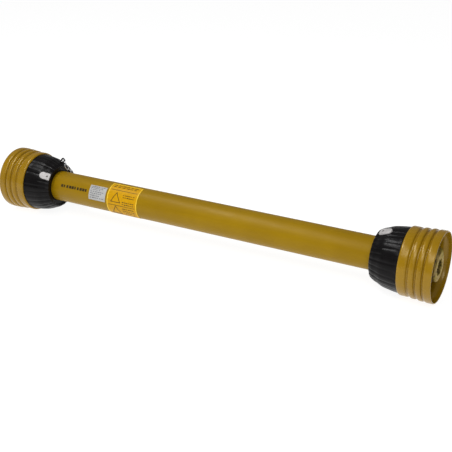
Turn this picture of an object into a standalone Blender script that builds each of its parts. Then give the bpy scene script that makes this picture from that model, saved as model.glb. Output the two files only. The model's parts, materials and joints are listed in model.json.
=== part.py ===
"""Guarded universal joint drive shaft, as used between a tractor and an implement.

Frame: metres, +X along the shaft from the outer-tube half to the inner-tube half, +Z up,
origin on the shaft's axis at mid length. The shaft is fully closed and straight.

Each end is modelled once, with +X pointing out of that end, and the left end is the same
design turned half a turn about Z. Forks are modelled with their trunnions along Z.
"""

import math

import bmesh
import bpy
from mathutils import Vector

GAP = 0.0003  # between pieces that touch on the real shaft

# Guard tubes and the places along the shaft, measured outwards from mid length
TUBE_MOUTH_X = 0.3943  # a guard tube meets its collar
RIM_X = 0.5242  # open end of a cone
OUTER_GUARD_R = 0.0350
OUTER_GUARD_WALL = 0.0025
INNER_GUARD_R = 0.0317
INNER_GUARD_WALL = 0.0023
OUTER_GUARD_END = 0.3961  # just short of the recess floor in the right collar
INNER_TUBES_REACH = 0.330  # how far a profile or inner guard tube runs past mid length
GUARD_SIDES = 24

# Universal joint, sized on a cross kit of 23.8 mm cups, 61.3 mm over their faces
CROSS_X = 0.442
CUP_R = 0.0119
CUP_FACE = 0.03065
CUP_BORE_R = 0.00835
TRUNNION_R = 0.0080
TRUNNION_END = 0.0288
SHOULDER_R = 0.0110
SHOULDER_END = 0.0140
CROSS_BALL_R = 0.0140
NIPPLE_BOSS_R = 0.0023
NIPPLE_BOSS_END = 0.0185
SEAL_R = 0.0106
EAR_R = 0.0175
EAR_IN = 0.0200
EAR_OUT = 0.0360
THROAT = 0.0330
BEARING_SIDES = 16

# Outer yoke with a six-spline bore for a 1 3/8 inch stub
HUB_END = 0.5200 - CROSS_X
HUB_R = 0.0300
SPLINES = 6
SPLINE_MAJOR_R = 0.01745
SPLINE_MINOR_R = 0.0149
SPLINE_SLOT = 0.0087
PIN_OFFSET = 0.0215
PIN_X = 0.5065 - CROSS_X
BOSS_R = 0.0135
BOSS_START = -0.0190
BOSS_END = 0.0200
PIN_R = 0.0055
PIN_END = -0.0226  # past the boss, for the clip
PIN_HEAD_R = 0.0070
PIN_HEAD_START = 0.0120
PIN_HEAD_END = 0.0270
COUNTERBORE_START = 0.0040

# Telescopic drive tubes: three-lobed, radius = mean + lobe * cos(3 * angle)
LOBE = 0.0015
LOBE_POINTS = 36
OUTER_PROFILE_MEAN = 0.0226
OUTER_PROFILE_WALL = 0.0030
SLIDING_GAP = 0.0004
INNER_PROFILE_WALL = 0.0040
PROFILE_END = 0.3840
SOCKET_END = 0.3845
ROLL_PIN_X = 0.3730
ROLL_PIN_R = 0.0048
ROLL_PIN_BORE_R = 0.0030

# Neck of the tube yoke and the nylon ring that carries the guard on it
NECK_R = 0.0240
NECK_START = 0.3872
NECK_END = 0.3962
TUBE_HUB_START = 0.3620

# Safety chain, drawn as its envelope
CHAIN_R = 0.0045
FLOOR_Z = -0.0714
LUG_ANGLE = math.radians(67)  # from +Y towards +Z
LUG_X = 0.0100
LUG_RADIUS = 0.0590
LUG_EYE_R = 0.0052

# Lock tabs: the holder's turn about the shaft, then the square end's distance from the
# mouth, radius and slope
LEFT_TAB = (math.radians(-50), (-0.0002, 0.0523, math.atan2(0.0101, 0.0245)))
RIGHT_TAB = (math.radians(14), (0.0078, 0.0561, math.atan2(0.0072, 0.0232)))

PARTS = "universal_joint_shaft"
CUTTERS = "cutters"


# ---------------------------------------------------------------- scene and materials


def clear_scene():
    for obj in list(bpy.data.objects):
        bpy.data.objects.remove(obj, do_unlink=True)
    for name in (PARTS, CUTTERS):
        collection = bpy.data.collections.new(name)
        bpy.context.scene.collection.children.link(collection)


def make_material(name, color, roughness, metallic=0.0):
    material = bpy.data.materials.new(name)
    material.use_nodes = True
    shader = material.node_tree.nodes["Principled BSDF"]
    shader.inputs["Base Color"].default_value = (*color, 1.0)
    shader.inputs["Roughness"].default_value = roughness
    shader.inputs["Metallic"].default_value = metallic
    return material


def make_materials():
    looks = {
        "guard_yellow": ((0.42, 0.26, 0.01), 0.45, 0.0),
        "collar_black": ((0.012, 0.011, 0.012), 0.35, 0.0),
        "nylon_white": ((0.75, 0.75, 0.73), 0.40, 0.0),
        "forged_steel": ((0.30, 0.28, 0.20), 0.45, 0.9),
        "bearing_steel": ((0.55, 0.54, 0.52), 0.30, 1.0),
        "spring_steel": ((0.35, 0.35, 0.36), 0.35, 1.0),
        "tube_steel": ((0.40, 0.40, 0.41), 0.40, 1.0),
        "seal_rubber": ((0.03, 0.03, 0.03), 0.70, 0.0),
        "chain_zinc": ((0.60, 0.61, 0.62), 0.35, 1.0),
        "label_silver": ((0.62, 0.62, 0.60), 0.35, 0.0),
        "label_amber": ((0.90, 0.45, 0.01), 0.35, 0.0),
    }
    return {name: make_material(name, *look) for name, look in looks.items()}


# ---------------------------------------------------------------- modelling helpers


def put(obj, material=None, parent=None, location=(0, 0, 0), rotation=(0, 0, 0)):
    """Link a finished object: with a material it is a part, without one a cutter."""
    obj.location = location
    obj.rotation_euler = rotation
    obj.parent = parent
    if material is None:
        obj.hide_render = True
        obj.display_type = "WIRE"
        bpy.data.collections[CUTTERS].objects.link(obj)
    else:
        obj.data.materials.clear()
        obj.data.materials.append(material)
        bpy.data.collections[PARTS].objects.link(obj)
    return obj


def make_empty(name, parent=None, location=(0, 0, 0), rotation=(0, 0, 0)):
    empty = bpy.data.objects.new(name, None)
    empty.location = location
    empty.rotation_euler = rotation
    empty.parent = parent
    bpy.data.collections[PARTS].objects.link(empty)
    return empty


def turned(name, outline, sides, closed=True):
    """A body turned about local Z from (height, radius) points.

    A closed outline makes a ring; an open one starts and ends on the axis, highest
    point first. The outline stands half a side round, so a flat faces each way.
    """
    if closed:
        doubled_area = sum(
            a[1] * b[0] - b[1] * a[0] for a, b in zip(outline, outline[1:] + outline[:1])
        )
        if doubled_area > 0:
            outline = outline[::-1]
    half_side = math.pi / sides
    mesh = bpy.data.meshes.new(name)
    points = [
        (radius * math.cos(half_side), radius * math.sin(half_side), height)
        for height, radius in outline
    ]
    edges = [(i, i + 1) for i in range(len(points) - 1)]
    if closed:
        edges.append((len(points) - 1, 0))
    mesh.from_pydata(points, edges, [])
    obj = bpy.data.objects.new(name, mesh)
    screw = obj.modifiers.new("turn", "SCREW")
    screw.steps = sides
    screw.render_steps = sides
    screw.use_merge_vertices = True
    screw.merge_threshold = 0.00001
    screw.use_smooth_shade = True
    return obj


def cylinder(name, radius, low, high, sides):
    outline = [(high, 0), (high, radius), (low, radius), (low, 0)]
    return turned(name, outline, sides, closed=False)


def mesh_from_curve(obj):
    """The curve object as a mesh object with its caps welded on."""
    bpy.context.scene.collection.objects.link(obj)
    bpy.context.view_layer.update()
    evaluated = obj.evaluated_get(bpy.context.evaluated_depsgraph_get())
    mesh = bpy.data.meshes.new_from_object(evaluated)
    name = obj.name
    curve = obj.data
    bpy.data.objects.remove(obj)
    bpy.data.curves.remove(curve)
    welded = bmesh.new()
    welded.from_mesh(mesh)
    bmesh.ops.remove_doubles(welded, verts=welded.verts, dist=0.00001)
    bmesh.ops.recalc_face_normals(welded, faces=welded.faces)
    welded.to_mesh(mesh)
    welded.free()
    mesh.name = name
    return bpy.data.objects.new(name, mesh)


def plate(name, loops, low, high):
    """Flat outline loops in local XY, later ones holes, with its faces at low and high."""
    curve = bpy.data.curves.new(name, "CURVE")
    curve.dimensions = "2D"
    curve.fill_mode = "BOTH"
    curve.extrude = (high - low) / 2
    for loop in loops:
        spline = curve.splines.new("POLY")
        spline.points.add(len(loop) - 1)
        for point, (x, y) in zip(spline.points, loop):
            point.co = (x, y, 0, 1)
        spline.use_cyclic_u = True
    obj = mesh_from_curve(bpy.data.objects.new(name, curve))
    middle = (high + low) / 2
    for vertex in obj.data.vertices:
        vertex.co.z += middle
    return obj


def wire(name, points, radius, resolution=2):
    curve = bpy.data.curves.new(name, "CURVE")
    curve.dimensions = "3D"
    curve.bevel_depth = radius
    curve.bevel_resolution = resolution
    curve.use_fill_caps = True
    spline = curve.splines.new("POLY")
    spline.points.add(len(points) - 1)
    for point, place in zip(spline.points, points):
        point.co = (*place, 1)
    return mesh_from_curve(bpy.data.objects.new(name, curve))


def box(name, low, high):
    mesh = bpy.data.meshes.new(name)
    cube = bmesh.new()
    bmesh.ops.create_cube(cube, size=1)
    for vertex in cube.verts:
        for axis in range(3):
            middle = (low[axis] + high[axis]) / 2
            vertex.co[axis] = middle + vertex.co[axis] * (high[axis] - low[axis])
    cube.to_mesh(mesh)
    cube.free()
    return bpy.data.objects.new(name, mesh)


def combine(obj, other, operation, location=(0, 0, 0), rotation=(0, 0, 0)):
    """Give obj a Boolean with other, which becomes a hidden cutter beside it."""
    put(other, None, obj, location, rotation)
    modifier = obj.modifiers.new(operation.lower(), "BOOLEAN")
    modifier.operation = operation
    modifier.solver = "EXACT"
    modifier.object = other
    return obj


def arc(radius, start, end, steps, centre=(0, 0)):
    angles = [start + (end - start) * i / steps for i in range(steps + 1)]
    return [
        (centre[0] + radius * math.cos(a), centre[1] + radius * math.sin(a)) for a in angles
    ]


def three_lobed(mean):
    angles = [2 * math.pi * i / LOBE_POINTS for i in range(LOBE_POINTS)]
    radii = [mean + LOBE * math.cos(3 * a) for a in angles]
    return [(r * math.cos(a), r * math.sin(a)) for r, a in zip(radii, angles)]


def split_ring(inner, outer, opening, steps):
    """A C-shaped outline, open by an angle about +X."""
    half = opening / 2
    outside = arc(outer, half, 2 * math.pi - half, steps)
    inside = arc(inner, half, 2 * math.pi - half, steps)
    return outside + inside[::-1]


def smooth_route(knots, spacing):
    """Points about spacing apart on a Catmull-Rom curve through the knots."""
    knots = [Vector(k) for k in knots]
    ends = [2 * knots[0] - knots[1]] + knots + [2 * knots[-1] - knots[-2]]
    route = [knots[0]]
    for a, b, c, d in zip(ends, ends[1:], ends[2:], ends[3:]):
        steps = max(1, round((c - b).length / spacing))
        for i in range(1, steps + 1):
            t = i / steps
            bend = (2 * a - 5 * b + 4 * c - d) * t * t + (3 * b - a - 3 * c + d) * t**3
            route.append((2 * b + (c - a) * t + bend) / 2)
    return route


TO_X = (0, math.pi / 2, 0)  # turns local +Z onto +X


# ---------------------------------------------------------------- guard


def guard_tube(name, radius, wall, start, end, material):
    outline = [(start, radius), (end, radius), (end, radius - wall), (start, radius - wall)]
    return put(turned(name, outline, GUARD_SIDES), material, None, rotation=TO_X)


def collar(name, end, tube_r, material):
    """Black moulded collar: a domed skirt, a recess round the tube and a sleeve that
    grips the tube. Distances are outwards from the tube's visible end."""
    skirt = [
        (0.0000, 0.0507),
        (0.0035, 0.0525),
        (0.0070, 0.0546),
        (0.0130, 0.0564),
        (0.0175, 0.0581),
        (0.0245, 0.0607),
        (0.0315, 0.0623),
        (0.0455, 0.0647),
        (0.0600, 0.0661),
        (0.0615, 0.0652),
        (0.0840, 0.0652),
    ]
    inside = [
        (0.0840, 0.0628),
        (0.0450, 0.0616),
        (0.0300, 0.0594),
        (0.0200, 0.0565),
        (0.0140, 0.0530),
        (0.0140, tube_r + 0.0034),
        (0.0180, tube_r + 0.0032),
        (0.0180, tube_r + GAP),
    ]
    recess = [
        (0.0028, tube_r + GAP),
        (0.0022, 0.0430),
        (0.0000, 0.0480),
    ]
    outline = [(TUBE_MOUTH_X + x, r) for x, r in skirt + inside + recess]
    return put(turned(name, outline, GUARD_SIDES), material, end, rotation=TO_X)


def cone(name, end, material):
    """Yellow flexible cone: a plain band over the collar, then two flat ridges and a
    wide lip with grooves between. Distances are outwards from the tube's visible end."""
    outside = [
        (0.0612, 0.0668),
        (0.0620, 0.0684),
        (0.0640, 0.0693),
        (0.0785, 0.0693),
        (0.0800, 0.0668),
        (0.0838, 0.0668),
        (0.0853, 0.0700),
        (0.0940, 0.0702),
        (0.0955, 0.0674),
        (0.0995, 0.0674),
        (0.1010, 0.0712),
        (0.1090, 0.0714),
        (0.1105, 0.0686),
        (0.1130, 0.0686),
        (0.1147, 0.0721),
        (0.1280, 0.0721),
        (RIM_X - TUBE_MOUTH_X, 0.0712),
    ]
    inside = [
        (RIM_X - TUBE_MOUTH_X, 0.0695),
        (0.1160, 0.0694),
        (0.1145, 0.0660),
        (0.0960, 0.0650),
        (0.0852, 0.0645),
        (0.0845, 0.0655),
        (0.0612, 0.0655),
    ]
    outline = [(TUBE_MOUTH_X + x, r) for x, r in outside + inside]
    return put(turned(name, outline, GUARD_SIDES), material, end, rotation=TO_X)


def bearing_ring(name, end, tube_inner, material):
    """Nylon ring between the tube yoke's neck and the inside of the guard tube."""
    low = NECK_START + GAP * 3
    high = NECK_END - GAP
    inner = NECK_R + 0.0005
    outer = tube_inner - GAP
    outline = [(low, outer), (high, outer), (high, inner), (low, inner)]
    return put(turned(name, outline, GUARD_SIDES), material, end, rotation=TO_X)


def lock_tab(name, end, angle, seat, material):
    """Tombstone-shaped nylon clip lying on the collar, its round end outwards.

    seat is (distance from the mouth, radius, slope) of the clip's square end.
    """
    half_width = 0.0080
    length = 0.0250
    straight = length - half_width
    outline = [(0, half_width), (0, -half_width)]
    outline += arc(half_width, -math.pi / 2, math.pi / 2, 8, (straight, 0))
    tab = plate(name, [outline], 0, 0.0016)
    holder = make_empty(name + "_place", end, rotation=(angle, 0, 0))
    along, radius, slope = seat
    place = (TUBE_MOUTH_X + along, 0, radius)
    return put(tab, material, holder, place, (0, -slope, 0))


def label(name, start_x, end_x, start_angle, end_angle, material):
    """A sticker wrapped round the outer guard tube. Angles are from +Y towards +Z."""
    low = OUTER_GUARD_R + GAP
    high = low + GAP
    outline = arc(high, start_angle, end_angle, 10) + arc(low, end_angle, start_angle, 10)
    # a plate turned by TO_X has its own +X on world -Z
    turned_outline = [(-z, y) for y, z in outline]
    return put(plate(name, [turned_outline], start_x, end_x), material, None, rotation=TO_X)


def chain_lug(collar_object):
    """A moulded eye on the left collar's shoulder, standing across the shaft."""
    ring = []
    for i in range(12):
        around = 2 * math.pi * i / 12
        reach = LUG_RADIUS + LUG_EYE_R * math.cos(around)
        across = LUG_EYE_R * math.sin(around)
        y = reach * math.cos(LUG_ANGLE) - across * math.sin(LUG_ANGLE)
        z = reach * math.sin(LUG_ANGLE) + across * math.cos(LUG_ANGLE)
        # the left collar's own +X, +Y and +Z are world -Z, -Y and -X
        ring.append((-z, -y, TUBE_MOUTH_X + LUG_X))
    combine(collar_object, closed_wire("lug_eye", ring, 0.0017), "UNION")


def closed_wire(name, points, radius):
    curve = bpy.data.curves.new(name, "CURVE")
    curve.dimensions = "3D"
    curve.bevel_depth = radius
    curve.bevel_resolution = 1
    spline = curve.splines.new("POLY")
    spline.points.add(len(points) - 1)
    for point, place in zip(spline.points, points):
        point.co = (*place, 1)
    spline.use_cyclic_u = True
    return mesh_from_curve(bpy.data.objects.new(name, curve))


# ---------------------------------------------------------------- forks


def fork(name, parent, blank, widening, throat, material):
    """A forged fork with its trunnions along Z: a turned blank, narrowed to two round
    ears by a side outline, with the throat and both bearing holes cut through."""
    yoke = turned(name, blank, GUARD_SIDES, closed=False)
    put(yoke, material, parent, rotation=TO_X)
    outline_frame = (0, -math.pi / 2, 0)  # undoes TO_X for the cutters
    side = 1 if widening[0] > 0 else -1
    wide = 0.050
    far = 0.100 * side
    near, out = widening
    ears = arc(EAR_R, math.pi / 2, math.pi / 2 + side * math.pi, 12)
    outline = [(near, EAR_R), *ears, (near, -EAR_R), (out, -wide), (far, -wide), (far, wide)]
    outline.append((out, wide))
    outer = plate(name + "_outline", [outline], -0.060, 0.060)
    combine(yoke, outer, "INTERSECT", rotation=outline_frame)
    slot = sorted((-0.050 * side, throat * side))
    opening = box(name + "_throat", (slot[0], -0.060, -EAR_IN), (slot[1], 0.060, EAR_IN))
    combine(yoke, opening, "DIFFERENCE", rotation=outline_frame)
    hole = [
        (0.050, 0),
        (0.050, CUP_R + GAP),
        (0.0327, CUP_R + GAP),
        (0.0327, 0.0132),
        (0.0307, 0.0132),
        (0.0307, CUP_R + GAP),
    ]
    hole += [(-height, radius) for height, radius in reversed(hole)]
    bore = turned(name + "_bearing_holes", hole, BEARING_SIDES, closed=False)
    combine(yoke, bore, "DIFFERENCE", rotation=outline_frame)
    return yoke


def spline_outline():
    """Bore outline: six slots at the major radius, lands at the minor radius."""
    half = SPLINE_SLOT / 2
    points = []
    for i in range(SPLINES):
        middle = 2 * math.pi * i / SPLINES
        slot = math.asin(half / SPLINE_MAJOR_R)
        root = math.asin(half / SPLINE_MINOR_R)
        next_root = 2 * math.pi / SPLINES - root
        for angle, radius in (
            (-root, SPLINE_MINOR_R),
            (-slot, SPLINE_MAJOR_R),
            (slot, SPLINE_MAJOR_R),
            (root, SPLINE_MINOR_R),
            ((root + next_root) / 2, SPLINE_MINOR_R),
        ):
            points.append(
                (radius * math.cos(middle + angle), radius * math.sin(middle + angle))
            )
    return points


def outer_yoke(side, frame, material):
    """Fork with a splined hub and a cross-drilled boss for its push pin."""
    name = side + "_yoke"
    blank = [
        (HUB_END, 0),
        (HUB_END, HUB_R - 0.0020),
        (HUB_END - 0.0020, HUB_R),
        (0.0480, HUB_R),
        (0.0370, EAR_OUT),
        (-0.0220, EAR_OUT),
        (-0.0220, 0),
    ]
    yoke = fork(name, frame, blank, (0.0290, 0.0400), THROAT, material)
    undo = (0, -math.pi / 2, 0)
    # cutters stand in the yoke's own space, whose +Z is the shaft and -X is the pin side
    boss = cylinder(name + "_boss", BOSS_R, BOSS_START, BOSS_END, GUARD_SIDES)
    combine(yoke, boss, "UNION", own_space(PIN_X, -PIN_OFFSET), undo)
    bore = plate(name + "_spline", [spline_outline()], THROAT - 0.010, HUB_END + 0.010)
    combine(yoke, bore, "DIFFERENCE")
    drilled = [
        (BOSS_END + 0.010, 0),
        (BOSS_END + 0.010, PIN_HEAD_R + GAP),
        (COUNTERBORE_START, PIN_HEAD_R + GAP),
        (COUNTERBORE_START, PIN_R + GAP),
        (BOSS_START, PIN_R + GAP),
        (BOSS_START, 0.0098),
        (BOSS_START - 0.010, 0.0098),
        (BOSS_START - 0.010, 0),
    ]
    drill = turned(name + "_pin_hole", drilled, BEARING_SIDES, closed=False)
    combine(yoke, drill, "DIFFERENCE", own_space(PIN_X, -PIN_OFFSET), undo)
    return yoke


def own_space(x, y):
    """A place at (x, y, 0) of a fork's frame, in the space of a body turned by TO_X."""
    return (0, y, x)


def push_pin(side, frame, materials):
    """Sprung pin across the hub, its spring and the clip that keeps it in."""
    place = (PIN_X, -PIN_OFFSET, 0)
    outline = [
        (PIN_HEAD_END, 0),
        (PIN_HEAD_END, PIN_HEAD_R - 0.0015),
        (PIN_HEAD_END - 0.0015, PIN_HEAD_R),
        (PIN_HEAD_START, PIN_HEAD_R),
        (PIN_HEAD_START, PIN_R),
        (PIN_END, PIN_R),
        (PIN_END, 0),
    ]
    pin = turned(side + "_push_pin", outline, BEARING_SIDES, closed=False)
    put(pin, materials["bearing_steel"], frame, place)
    turns = 3
    steps = 10 * turns
    wire_r = 0.0005
    radius = PIN_R + GAP + wire_r
    low = COUNTERBORE_START + GAP + wire_r
    high = PIN_HEAD_START - GAP - wire_r
    helix = []
    for i in range(steps + 1):
        angle = 2 * math.pi * turns * i / steps
        height = low + (high - low) * i / steps
        helix.append((radius * math.cos(angle), radius * math.sin(angle), height))
    spring = wire(side + "_pin_spring", helix, wire_r, 1)
    put(spring, materials["spring_steel"], frame, place)
    ring = split_ring(PIN_R + GAP, 0.0090, math.radians(70), 10)
    clip = plate(side + "_pin_clip", [ring], BOSS_START - 0.0016, BOSS_START - GAP)
    put(clip, materials["spring_steel"], frame, place)


def tube_yoke(side, frame, profile, arm_r, material):
    """Fork on a profile tube: a socket for the tube, a neck for the guard's ring."""
    name = side + "_tube_yoke"
    hub_r = max(math.hypot(*point) for point in profile) + 0.0044
    blank = [
        (0.0220, 0),
        (0.0220, EAR_OUT),
        (-0.0210, EAR_OUT),
        (-0.0285, arm_r),
        (NECK_END - CROSS_X, arm_r),
        (NECK_END - CROSS_X, NECK_R),
        (NECK_START - CROSS_X, NECK_R),
        (NECK_START - CROSS_X, hub_r),
        (TUBE_HUB_START - CROSS_X, hub_r),
        (TUBE_HUB_START - CROSS_X, 0),
    ]
    yoke = fork(name, frame, blank, (-0.0300, -0.0380), THROAT, material)
    start = TUBE_HUB_START - CROSS_X - 0.010
    socket = plate(name + "_socket", [profile], start, SOCKET_END - CROSS_X)
    combine(yoke, socket, "DIFFERENCE")
    drill = cylinder(name + "_roll_pin_hole", ROLL_PIN_R + GAP, -0.050, 0.050, BEARING_SIDES)
    combine(yoke, drill, "DIFFERENCE", own_space(ROLL_PIN_X - CROSS_X, 0), (0, -math.pi / 2, 0))
    return hub_r


def roll_pin(side, end, hub_r, material):
    outline = split_ring(ROLL_PIN_BORE_R, ROLL_PIN_R, math.radians(40), 12)
    half = hub_r - 0.0010
    pin = plate(side + "_roll_pin", [outline], -half, half)
    put(pin, material, end, (ROLL_PIN_X, 0, 0))


def profile_tube(name, end, outside, inside, material):
    """Three-lobed drive tube from its yoke's socket to past mid length."""
    tube = plate(name, [outside, inside], -INNER_TUBES_REACH, PROFILE_END)
    put(tube, material, end, rotation=TO_X)
    drill = cylinder(name + "_pin_hole", ROLL_PIN_R + GAP, -0.050, 0.050, BEARING_SIDES)
    combine(tube, drill, "DIFFERENCE", (0, 0, ROLL_PIN_X), (0, -math.pi / 2, 0))


# ---------------------------------------------------------------- cross kit


def cross(side, centre, material):
    """Four trunnions on a ball, along Y and Z."""
    spindle = [
        (TRUNNION_END, 0),
        (TRUNNION_END, TRUNNION_R),
        (SHOULDER_END, TRUNNION_R),
        (SHOULDER_END, SHOULDER_R),
    ]
    spindle += [(-height, radius) for height, radius in reversed(spindle)]
    name = side + "_cross"
    body = turned(name, spindle, BEARING_SIDES, closed=False)
    put(body, material, centre)
    ball = bpy.data.meshes.new(name + "_ball")
    sphere = bmesh.new()
    bmesh.ops.create_uvsphere(sphere, u_segments=14, v_segments=9, radius=CROSS_BALL_R)
    sphere.to_mesh(ball)
    sphere.free()
    combine(body, bpy.data.objects.new(name + "_ball", ball), "UNION")
    other = turned(name + "_spindle", spindle, BEARING_SIDES, closed=False)
    combine(body, other, "UNION", rotation=(math.pi / 2, 0, 0))
    boss = cylinder(name + "_nipple_boss", NIPPLE_BOSS_R, 0.0080, NIPPLE_BOSS_END, 8)
    combine(body, boss, "UNION", rotation=(math.radians(45), 0, 0))


def grease_nipple(side, centre, material):
    """Nipple on the cross's flank, half way between two trunnions."""
    outline = [
        (0.0068, 0),
        (0.0068, 0.0014),
        (0.0058, 0.0026),
        (0.0044, 0.0026),
        (0.0036, 0.0016),
        (0.0026, 0.0016),
        (0.0020, 0.0030),
        (0, 0.0030),
        (0, 0),
    ]
    start = NIPPLE_BOSS_END + GAP
    outline = [(start + height, radius) for height, radius in outline]
    nipple = turned(side + "_grease_nipple", outline, 8, closed=False)
    put(nipple, material, centre, rotation=(math.radians(45), 0, 0))


def trunnion_kit(side, place, number, rotation, centre, materials):
    """Bearing cup, seal and circlip of one trunnion, which runs along local +Z."""
    inward = CUP_FACE - 0.0130
    cup_outline = [
        (CUP_FACE, 0),
        (CUP_FACE, CUP_R - 0.0008),
        (CUP_FACE - 0.0008, CUP_R),
        (inward, CUP_R),
        (inward, CUP_BORE_R),
        (TRUNNION_END + GAP, CUP_BORE_R),
        (TRUNNION_END + GAP, 0),
    ]
    tag = f"{place}_{number}"
    cup = turned(f"{side}_cup_{tag}", cup_outline, BEARING_SIDES, closed=False)
    put(cup, materials["bearing_steel"], centre, rotation=rotation)
    low = SHOULDER_END + GAP
    high = inward - GAP
    ring = [(low, CUP_BORE_R), (low, SEAL_R), (high, SEAL_R), (high, CUP_BORE_R)]
    seal = turned(f"{side}_seal_{tag}", ring, BEARING_SIDES)
    put(seal, materials["seal_rubber"], centre, rotation=rotation)
    opening = split_ring(0.0096, 0.0129, math.radians(40), 12)
    clip = plate(f"{side}_circlip_{tag}", [opening], CUP_FACE + GAP, 0.0324)
    put(clip, materials["spring_steel"], centre, rotation=rotation)


# ---------------------------------------------------------------- one end


def build_end(side, end, tube_r, tube_inner, profile, tab, materials):
    """Everything at one end of the shaft, with +X of the end's frame pointing out."""
    skirt = collar(side + "_collar", end, tube_r, materials["collar_black"])
    cone(side + "_cone", end, materials["guard_yellow"])
    bearing_ring(side + "_guard_ring", end, tube_inner, materials["nylon_white"])
    lock_tab(side + "_lock_tab", end, *tab, materials["nylon_white"])

    centre = make_empty(side + "_joint_centre", end, (CROSS_X, 0, 0))
    # trunnions of the outer yoke lie along Y, those of the tube yoke along Z
    yoke_frame = make_empty(side + "_yoke_frame", centre, rotation=(-math.pi / 2, 0, 0))
    outer_yoke(side, yoke_frame, materials["forged_steel"])
    push_pin(side, yoke_frame, materials)
    arm_r = tube_inner - 0.0010
    socket = [(x * 1.012, y * 1.012) for x, y in profile]
    hub_r = tube_yoke(side, centre, socket, arm_r, materials["forged_steel"])
    roll_pin(side, end, hub_r, materials["spring_steel"])
    cross(side, centre, materials["bearing_steel"])
    grease_nipple(side, centre, materials["bearing_steel"])
    for place, first, second in (
        ("yoke", (-math.pi / 2, 0, 0), (math.pi / 2, 0, 0)),
        ("tube", (0, 0, 0), (math.pi, 0, 0)),
    ):
        trunnion_kit(side, place, 1, first, centre, materials)
        trunnion_kit(side, place, 2, second, centre, materials)
    return skirt


def safety_chain(materials):
    """Chain from the left collar's eye, down behind the shaft and along the ground."""
    floor = FLOOR_Z + CHAIN_R
    knots = [
        (-0.3890, 0.0125, 0.0500),
        (-0.3888, 0.0185, 0.0395),
        (-0.3888, 0.0280, 0.0318),
        (-0.3888, 0.0352, 0.0222),
        (-0.3888, 0.0408, 0.0060),
        (-0.3884, 0.0460, -0.0180),
        (-0.3850, 0.0575, -0.0420),
        (-0.3730, 0.0730, -0.0600),
        (-0.3500, 0.0870, floor),
        (-0.3200, 0.0950, floor),
        (-0.2800, 0.1000, floor),
        (-0.2300, 0.1020, floor),
        (-0.1800, 0.1000, floor),
        (-0.1300, 0.0960, floor),
        (-0.0800, 0.0980, floor),
    ]
    route = smooth_route(knots, 0.018)
    for point in route:
        point.z = max(point.z, floor)
    chain = wire("left_chain", route, CHAIN_R)
    put(chain, materials["chain_zinc"])
    hook_r = 0.0020
    hook = arc(0.0080, math.radians(180), math.radians(-20), 10, (0.0090, 0))
    hook += arc(0.0080, math.radians(200), math.radians(340), 8, (0.0280, -0.0040))
    points = [(x, y, 0) for x, y in hook]
    place = (-0.0800 + 0.0035, 0.0980, FLOOR_Z + hook_r + 0.0010)
    put(wire("left_chain_hook", points, hook_r, 1), materials["chain_zinc"], None, place)


def main():
    clear_scene()
    materials = make_materials()
    right = make_empty("right_end")
    left = make_empty("left_end", rotation=(0, 0, math.pi))

    inner_mean = OUTER_PROFILE_MEAN - OUTER_PROFILE_WALL - SLIDING_GAP
    outer_profile = three_lobed(OUTER_PROFILE_MEAN)
    inner_profile = three_lobed(inner_mean)
    left_collar = build_end(
        "left",
        left,
        OUTER_GUARD_R,
        OUTER_GUARD_R - OUTER_GUARD_WALL,
        outer_profile,
        LEFT_TAB,
        materials,
    )
    chain_lug(left_collar)
    build_end(
        "right",
        right,
        INNER_GUARD_R,
        INNER_GUARD_R - INNER_GUARD_WALL,
        inner_profile,
        RIGHT_TAB,
        materials,
    )

    reach = TUBE_MOUTH_X + 0.0180
    yellow = materials["guard_yellow"]
    guard_tube(
        "outer_guard_tube",
        OUTER_GUARD_R,
        OUTER_GUARD_WALL,
        -reach,
        OUTER_GUARD_END,
        yellow,
    )
    guard_tube(
        "inner_guard_tube",
        INNER_GUARD_R,
        INNER_GUARD_WALL,
        -INNER_TUBES_REACH,
        reach,
        yellow,
    )
    steel = materials["tube_steel"]
    outer_inside = three_lobed(OUTER_PROFILE_MEAN - OUTER_PROFILE_WALL)
    inner_inside = three_lobed(inner_mean - INNER_PROFILE_WALL)
    profile_tube("outer_profile_tube", left, outer_profile, outer_inside, steel)
    profile_tube("inner_profile_tube", right, inner_profile, inner_inside, steel)

    label(
        "info_label",
        -0.2880,
        -0.2420,
        math.radians(126),
        math.radians(182),
        materials["label_silver"],
    )
    label(
        "warning_label",
        -0.2370,
        -0.1560,
        math.radians(94),
        math.radians(246),
        materials["label_amber"],
    )
    safety_chain(materials)


main()
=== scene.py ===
"""Visual model of a guarded universal joint shaft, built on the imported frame.

Each end is made once with +X pointing out of it, and the left end is turned half a turn
about Z. Places along an end are distances outwards from the mouth, where its guard tube
leaves its collar.
"""

import json
import math

import bmesh
import bpy
from mathutils import Matrix, Vector


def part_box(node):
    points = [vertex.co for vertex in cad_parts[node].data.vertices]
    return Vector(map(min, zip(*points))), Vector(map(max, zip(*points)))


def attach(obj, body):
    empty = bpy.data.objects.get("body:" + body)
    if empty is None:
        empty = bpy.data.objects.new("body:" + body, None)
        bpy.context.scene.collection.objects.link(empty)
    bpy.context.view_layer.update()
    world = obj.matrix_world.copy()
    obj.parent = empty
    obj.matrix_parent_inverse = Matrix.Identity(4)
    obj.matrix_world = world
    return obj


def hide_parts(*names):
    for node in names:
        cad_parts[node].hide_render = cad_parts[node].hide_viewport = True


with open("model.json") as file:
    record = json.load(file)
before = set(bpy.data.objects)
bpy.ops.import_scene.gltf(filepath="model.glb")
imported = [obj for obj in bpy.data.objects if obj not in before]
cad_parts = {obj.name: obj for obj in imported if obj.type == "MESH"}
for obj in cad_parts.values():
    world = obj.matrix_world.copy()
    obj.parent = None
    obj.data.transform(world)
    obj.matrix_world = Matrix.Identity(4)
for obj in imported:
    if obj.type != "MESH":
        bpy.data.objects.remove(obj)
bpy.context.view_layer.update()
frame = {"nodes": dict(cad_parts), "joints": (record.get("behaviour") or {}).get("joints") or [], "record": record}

ROUND = 128  # sides of a large turned piece
CONE_ROUND = 160
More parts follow.
